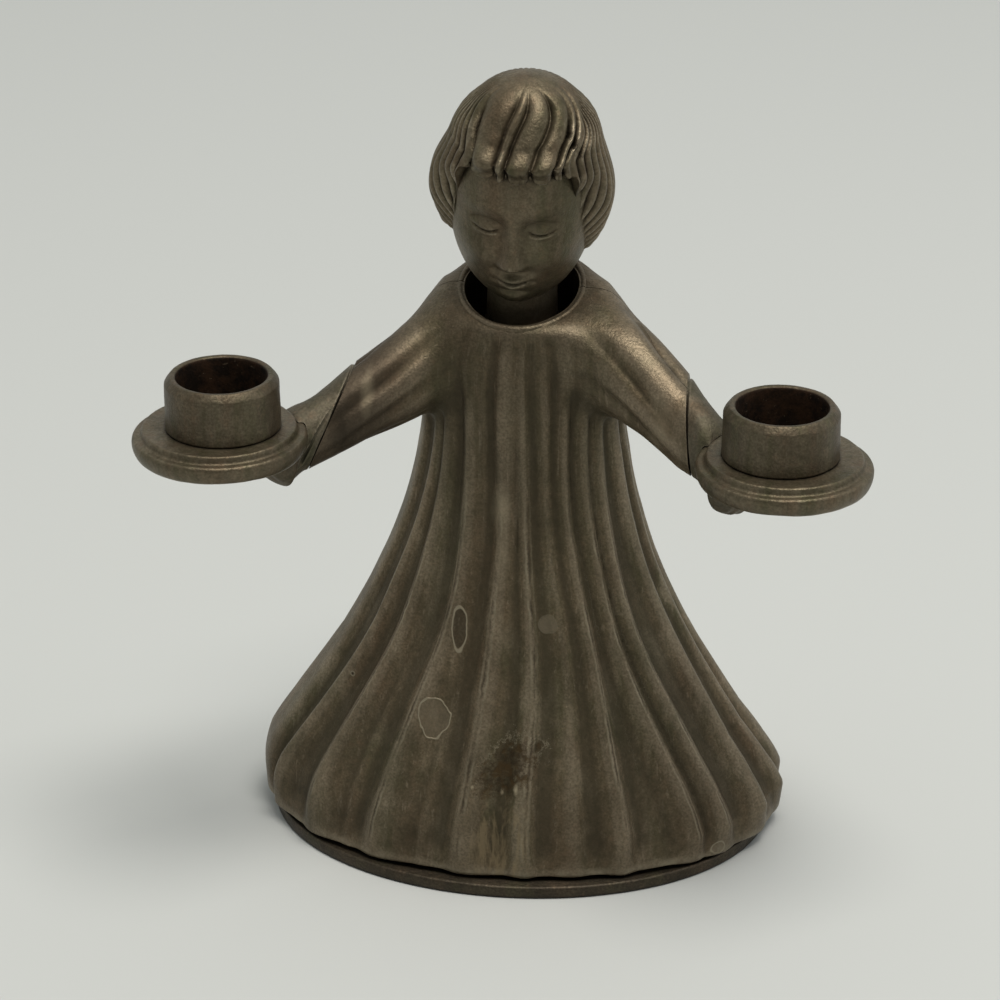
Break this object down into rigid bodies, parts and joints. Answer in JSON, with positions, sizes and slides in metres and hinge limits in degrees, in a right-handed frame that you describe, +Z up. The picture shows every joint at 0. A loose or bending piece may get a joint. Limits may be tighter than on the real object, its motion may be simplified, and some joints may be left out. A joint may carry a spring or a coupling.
{
  "type": "figural candle holder",
  "caption": "Small dark cast metal choir boy in a fluted gown, standing on an oval base, each outstretched hand carrying a drip pan with a candle cup.",
  "frame": {"origin": "middle of the base plate's underside", "axes": "+Z up; the figure faces -Y; +X is to the viewer's right when facing the figure"},
  "size_m": [0.1066, 0.0682, 0.1222],
  "materials": {
    "patinated_pewter": "dark brown patina, satin",
    "worn_pewter": "brown patina worn brighter on the edges, satin"
  },
  "bodies": {
    "root": {"base_plate": "patinated_pewter", "gown_front": "patinated_pewter", "gown_back": "patinated_pewter", "left_forearm": "patinated_pewter", "right_forearm": "patinated_pewter", "head": "worn_pewter", "left_drip_pan": "worn_pewter", "right_drip_pan": "worn_pewter", "left_candle_cup": "worn_pewter", "right_candle_cup": "worn_pewter"}
  },
  "joints": []
}
